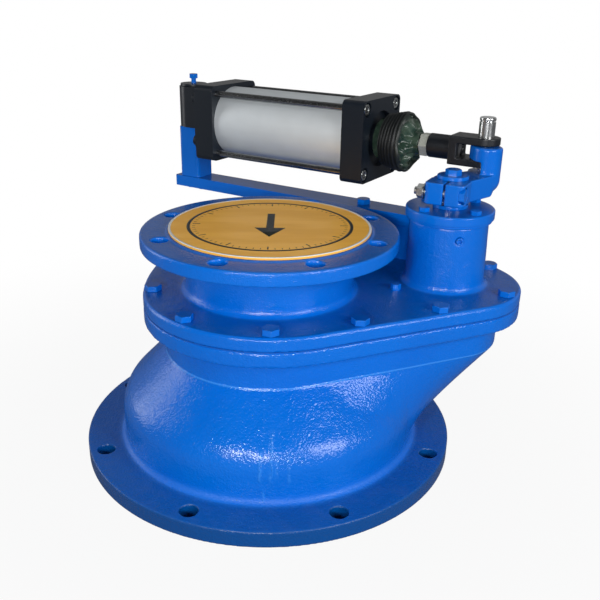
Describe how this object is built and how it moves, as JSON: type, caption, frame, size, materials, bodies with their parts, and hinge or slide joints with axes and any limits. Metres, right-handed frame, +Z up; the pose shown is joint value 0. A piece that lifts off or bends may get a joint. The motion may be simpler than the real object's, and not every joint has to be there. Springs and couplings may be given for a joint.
{
  "type": "rotary swing valve",
  "caption": "Flanged swing disc valve: a bulbous cast body, a cover with inlet neck and shaft tower, a lever and an air cylinder that swings the disc off its seat.",
  "frame": {"origin": "centre of the outlet flange's bottom face", "axes": "+Z up along the port axis; +X towards the shaft tower; +Y towards the cylinder's rear pivot"},
  "size_m": [0.6029, 0.6455, 0.4663],
  "materials": {
    "blue_paint": "glossy enamel over cast iron",
    "gasket_sheet": "compressed fibre sheet",
    "wear_alloy": "ground wear-resistant alloy",
    "machined_steel": "turned steel",
    "bronze": "machined bronze",
    "packing": "graphite packing",
    "cast_iron": "sand cast",
    "spring_steel": "hardened spring steel",
    "zinc_plate": "bright zinc plate",
    "black_oxide": "black oxide steel",
    "black_anodised": "black anodised aluminium",
    "anodised_tube": "clear anodised aluminium",
    "chromed_rod": "bright drawn bar",
    "cast_aluminium": "machined aluminium",
    "gaiter_cloth": "coated cloth",
    "board_wood": "varnished fibreboard"
  },
  "bodies": {
    "housing": {"valve_body": "blue_paint", "valve_cover": "blue_paint", "cover_gasket": "gasket_sheet", "cover_bolts": "blue_paint", "seat_ring": "wear_alloy", "seat_screws": "machined_steel", "cover_plug": "blue_paint", "tower_plug": "blue_paint", "bearing_cap": "blue_paint", "cap_bolts": "blue_paint", "lower_bush": "bronze", "upper_bush": "bronze", "shaft_packing": "packing", "lantern_ring": "bronze", "thrust_washer": "bronze", "shaft_seal": "blue_paint", "bracket_beam": "blue_paint", "pivot_post": "blue_paint", "post_bolts": "blue_paint", "beam_bolts": "blue_paint", "pivot_pin": "machined_steel", "pivot_washer": "black_oxide", "pin_bolt": "blue_paint", "inlet_board": "board_wood"},
    "rotor": {"valve_shaft": "machined_steel", "arm_key": "machined_steel", "lever_key": "machined_steel", "swing_arm": "blue_paint", "arm_washer": "machined_steel", "arm_bolt": "machined_steel", "disc_stub": "machined_steel", "spring_washers": "spring_steel", "lever": "blue_paint", "clamp_bolt": "zinc_plate", "end_washer": "blue_paint", "end_bolt": "blue_paint"},
    "disc": {"valve_disc": "cast_iron", "disc_face": "wear_alloy"},
    "rod": {"rod_fork": "black_oxide", "fork_pin": "zinc_plate", "pin_clip": "zinc_plate", "lock_nut": "zinc_plate", "piston_rod": "machined_steel", "piston": "cast_aluminium", "piston_seal": "packing"},
    "barrel": {"front_cap": "black_anodised", "rear_cap": "black_anodised", "rod_gland": "bronze", "barrel_tube": "anodised_tube", "tie_rods": "chromed_rod", "tie_nuts": "zinc_plate", "rear_eye": "black_oxide", "rear_screws": "black_oxide", "rod_gaiter": "gaiter_cloth"}
  },
  "joints": [
    {"name": "shaft_swing", "type": "hinge", "parent": "housing", "child": "rotor", "pos_m": [0.241, 0.03, 0.334], "axis": [0, 0, 1], "range_deg": [-58, 0]},
    {"name": "disc_spin", "type": "hinge", "parent": "rotor", "child": "disc", "pos_m": [0, 0, 0.185], "axis": [0, 0, 1], "continuous": true},
    {"name": "fork_turn", "type": "hinge", "parent": "rotor", "child": "rod", "pos_m": [0.292, 0.081, 0.398], "axis": [0, 0, 1], "range_deg": [0, 54]},
    {"name": "rod_stroke", "type": "slide", "parent": "rod", "child": "barrel", "axis": [-0.8436, 0.537, 0], "range_m": [0, 0.058], "deforming": ["rod_gaiter"]}
  ],
  "couplings": [
    {"joint": "fork_turn", "follows": "shaft_swing", "ratio": -0.926},
    {"joint": "rod_stroke", "follows": "shaft_swing", "m_per_rad": -0.0571}
  ]
}
